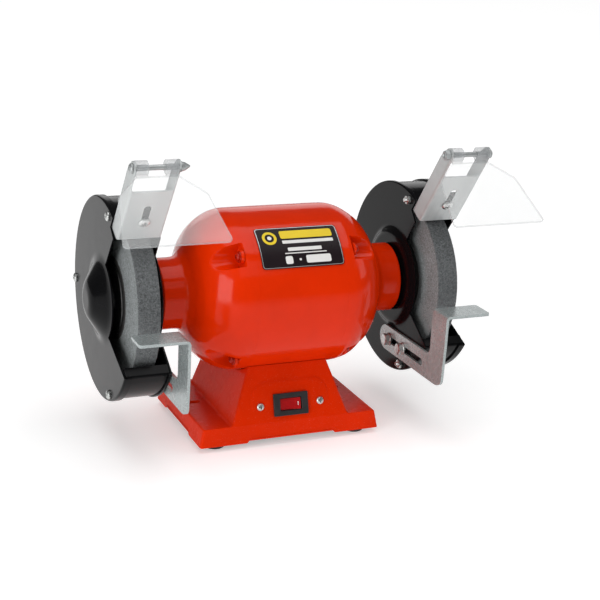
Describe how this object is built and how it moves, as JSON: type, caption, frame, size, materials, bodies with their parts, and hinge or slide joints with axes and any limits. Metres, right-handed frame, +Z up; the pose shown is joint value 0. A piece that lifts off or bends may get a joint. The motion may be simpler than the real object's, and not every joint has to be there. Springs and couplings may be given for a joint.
{
  "type": "bench grinder",
  "caption": "Bench grinder: a motor on a cast base drives a wheel at each end, inside guards with clear eye shields and sliding tool rests.",
  "frame": {"origin": "centre of the overall box at bench level, under the rubber feet", "axes": "+X along the shaft to the user's right, -Y towards the user, +Z up"},
  "size_m": [0.3778, 0.2435, 0.2783],
  "materials": {
    "red_paint": "gloss",
    "black_paint": "semi-gloss",
    "zinc_plate": "satin zinc plate",
    "steel": "satin",
    "abrasive": "matt, coarse",
    "clear_plastic": "clear",
    "rubber": "matt",
    "black_plastic": "matt",
    "red_plastic": "gloss",
    "label": "semi-gloss",
    "copper_wire": "varnished winding"
  },
  "bodies": {
    "housing": {"base_housing": "red_paint", "bottom_plate": "black_paint", "foot_front_left": "rubber", "foot_front_right": "rubber", "foot_rear_left": "rubber", "foot_rear_right": "rubber", "switch_bezel": "black_plastic", "switch_screw_left": "steel", "switch_screw_right": "steel", "cable_gland": "rubber", "run_capacitor": "black_plastic", "motor_barrel": "red_paint", "end_bell_left": "red_paint", "end_bell_right": "red_paint", "stator_core": "steel", "winding_left": "copper_wire", "winding_right": "copper_wire", "bearing_left": "steel", "bearing_right": "steel", "nameplate": "label", "guard_plate_left": "black_paint", "guard_plate_right": "black_paint", "guard_cover_left": "black_paint", "guard_cover_right": "black_paint", "guard_band_left": "black_paint", "guard_band_right": "black_paint", "cover_bolt_left_top": "steel", "cover_bolt_left_rear": "steel", "cover_bolt_left_bottom": "steel", "bracket_bolt_left": "steel", "rest_bolt_left_rear": "steel", "rest_bolt_left_front": "steel", "cover_bolt_right_top": "steel", "cover_bolt_right_rear": "steel", "cover_bolt_right_bottom": "steel", "bracket_bolt_right": "steel", "rest_bolt_right_rear": "steel", "rest_bolt_right_front": "steel"},
    "spindle": {"motor_shaft": "steel", "rotor_core": "steel", "grinding_wheel_left": "abrasive", "inner_flange_left": "steel", "outer_flange_left": "steel", "wheel_nut_left": "steel", "grinding_wheel_right": "abrasive", "inner_flange_right": "steel", "outer_flange_right": "steel", "wheel_nut_right": "steel"},
    "rocker": {"power_rocker": "red_plastic"},
    "bracket_left": {"shield_bracket_left": "zinc_plate", "shield_rod_left": "zinc_plate"},
    "shield_left": {"eye_shield_left": "clear_plastic"},
    "rest_left": {"tool_rest_left": "zinc_plate"},
    "bracket_right": {"shield_bracket_right": "zinc_plate", "shield_rod_right": "zinc_plate"},
    "shield_right": {"eye_shield_right": "clear_plastic"},
    "rest_right": {"tool_rest_right": "zinc_plate"}
  },
  "joints": [
    {"name": "wheel_spindle", "type": "hinge", "parent": "housing", "child": "spindle", "pos_m": [0, 0.0301, 0.1355], "axis": [1, 0, 0], "continuous": true},
    {"name": "power_switch", "type": "hinge", "parent": "housing", "child": "rocker", "pos_m": [0, -0.01887, 0.03598], "axis": [0, 0.2865, 0.9581], "range_deg": [0, 12]},
    {"name": "bracket_slide_left", "type": "slide", "parent": "housing", "child": "bracket_left", "axis": [0, -0.5864, 0.81], "range_m": [-0.0025, 0.003]},
    {"name": "shield_hinge_left", "type": "hinge", "parent": "bracket_left", "child": "shield_left", "pos_m": [-0.1441, -0.0589, 0.272], "axis": [-1, 0, 0], "range_deg": [0, 95]},
    {"name": "rest_slide_left", "type": "slide", "parent": "housing", "child": "rest_left", "axis": [0, 1, 0], "range_m": [-0.002, 0.0135]},
    {"name": "bracket_slide_right", "type": "slide", "parent": "housing", "child": "bracket_right", "axis": [0, -0.5864, 0.81], "range_m": [-0.0025, 0.003]},
    {"name": "shield_hinge_right", "type": "hinge", "parent": "bracket_right", "child": "shield_right", "pos_m": [0.1441, -0.0589, 0.272], "axis": [-1, 0, 0], "range_deg": [0, 95]},
    {"name": "rest_slide_right", "type": "slide", "parent": "housing", "child": "rest_right", "axis": [0, 1, 0], "range_m": [-0.002, 0.0135]}
  ]
}
